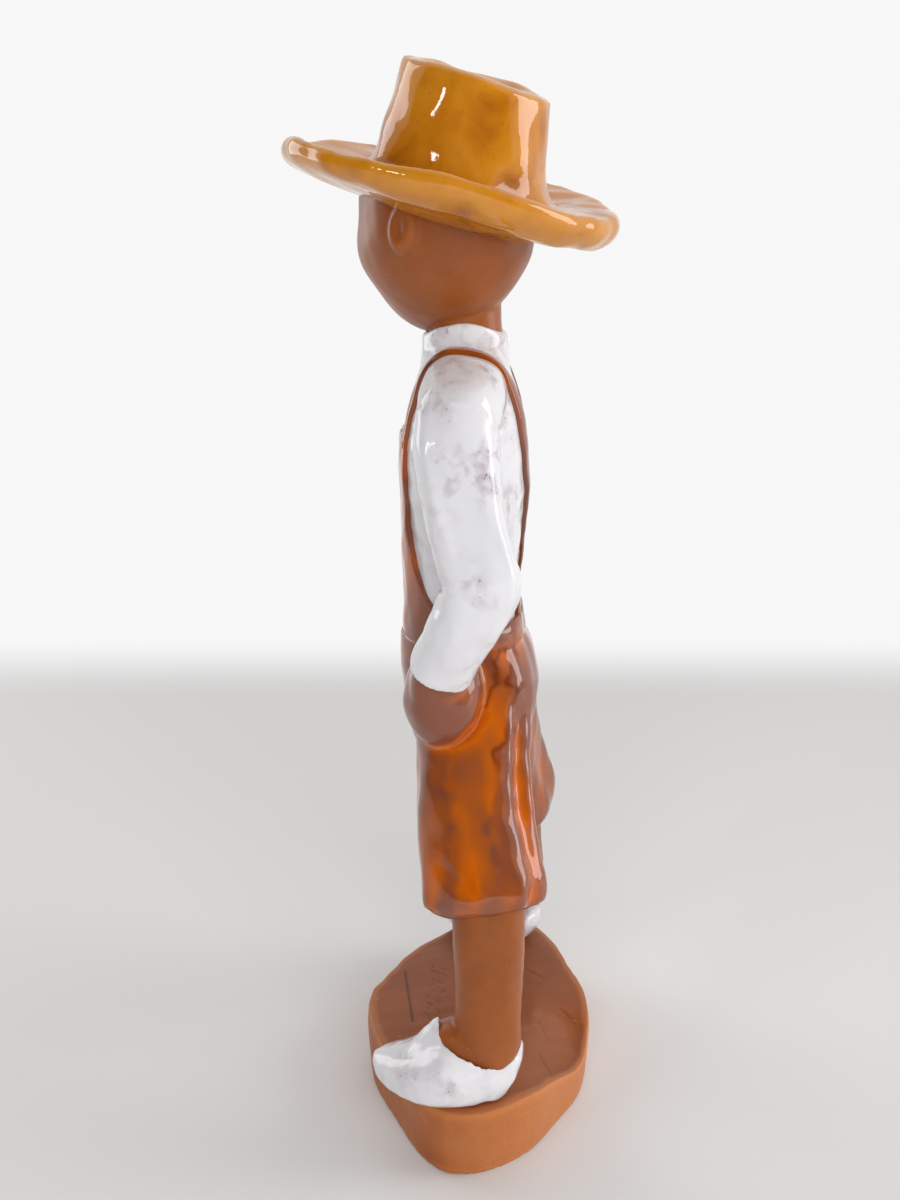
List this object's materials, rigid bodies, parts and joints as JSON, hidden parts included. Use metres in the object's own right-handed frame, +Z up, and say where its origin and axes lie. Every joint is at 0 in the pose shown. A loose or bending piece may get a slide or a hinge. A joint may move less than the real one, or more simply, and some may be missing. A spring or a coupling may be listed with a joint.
{
  "type": "glazed terracotta figurine",
  "caption": "Hand-modelled clay figurine of a youth in a brimmed hat, band-collar shirt and dungarees, legs apart and hands in pockets, on a thick lozenge plinth",
  "frame": {"origin": "on the underside of the plinth, below the middle of its length and width", "axes": "+Z up; the figure faces -Y; +X is the figure's left side, along the plinth's length"},
  "size_m": [0.127, 0.0956, 0.3257],
  "materials": {
    "terracotta": "matte",
    "glaze_white": "gloss",
    "glaze_brown": "gloss",
    "glaze_amber": "gloss"
  },
  "bodies": {
    "root": {"figurine": "terracotta"}
  },
  "joints": []
}
